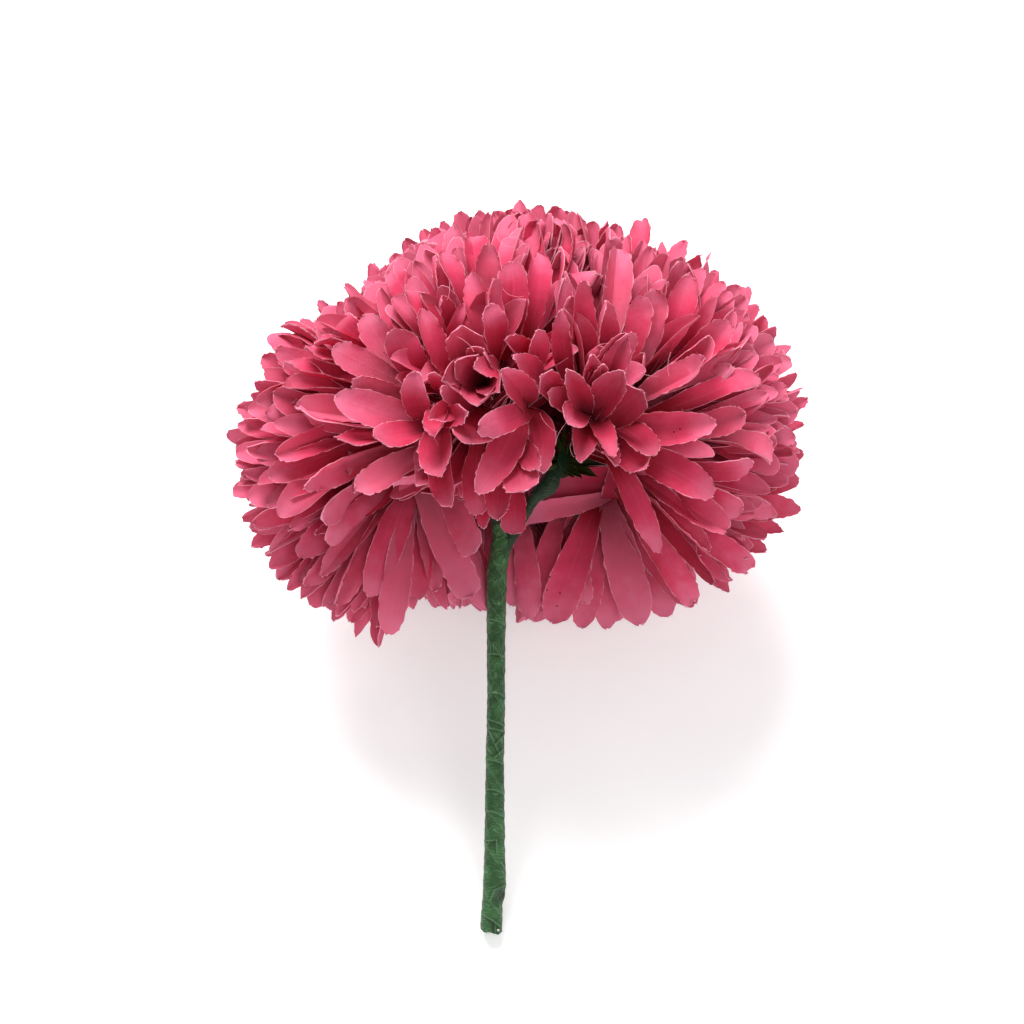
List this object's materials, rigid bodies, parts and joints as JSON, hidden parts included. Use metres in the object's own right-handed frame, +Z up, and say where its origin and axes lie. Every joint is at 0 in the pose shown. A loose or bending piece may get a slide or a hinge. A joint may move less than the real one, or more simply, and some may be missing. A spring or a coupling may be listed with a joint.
{
  "type": "artificial pompon chrysanthemum spray",
  "caption": "Artificial spray of fabric pompon chrysanthemum heads on wire stalks, bound into one short taped stem; lies on its back.",
  "frame": {"origin": "centre of the bounding box's base, on the surface that the spray lies on", "axes": "+Z up from that surface; +Y along the stem from its cut end to the heads; +X to the right in the picture"},
  "size_m": [0.1048, 0.1284, 0.0819],
  "materials": {
    "petals": "matte woven cloth",
    "calyx": "satin",
    "sleeve": "matte",
    "tape": "waxed crepe paper",
    "wire": "drawn"
  },
  "bodies": {
    "root": {"stem_tape": "tape", "petals_left": "petals", "calyx_left": "calyx", "sleeve_left": "sleeve", "wire_left": "wire", "petals_right": "petals", "calyx_right": "calyx", "sleeve_right": "sleeve", "wire_right": "wire", "petals_front": "petals", "calyx_front": "calyx", "sleeve_front": "sleeve", "wire_front": "wire", "petals_crown": "petals", "calyx_crown": "calyx", "sleeve_crown": "sleeve", "wire_crown": "wire", "petals_top": "petals", "calyx_top": "calyx", "sleeve_top": "sleeve", "wire_top": "wire", "petals_back": "petals", "calyx_back": "calyx", "sleeve_back": "sleeve", "wire_back": "wire"}
  },
  "joints": []
}
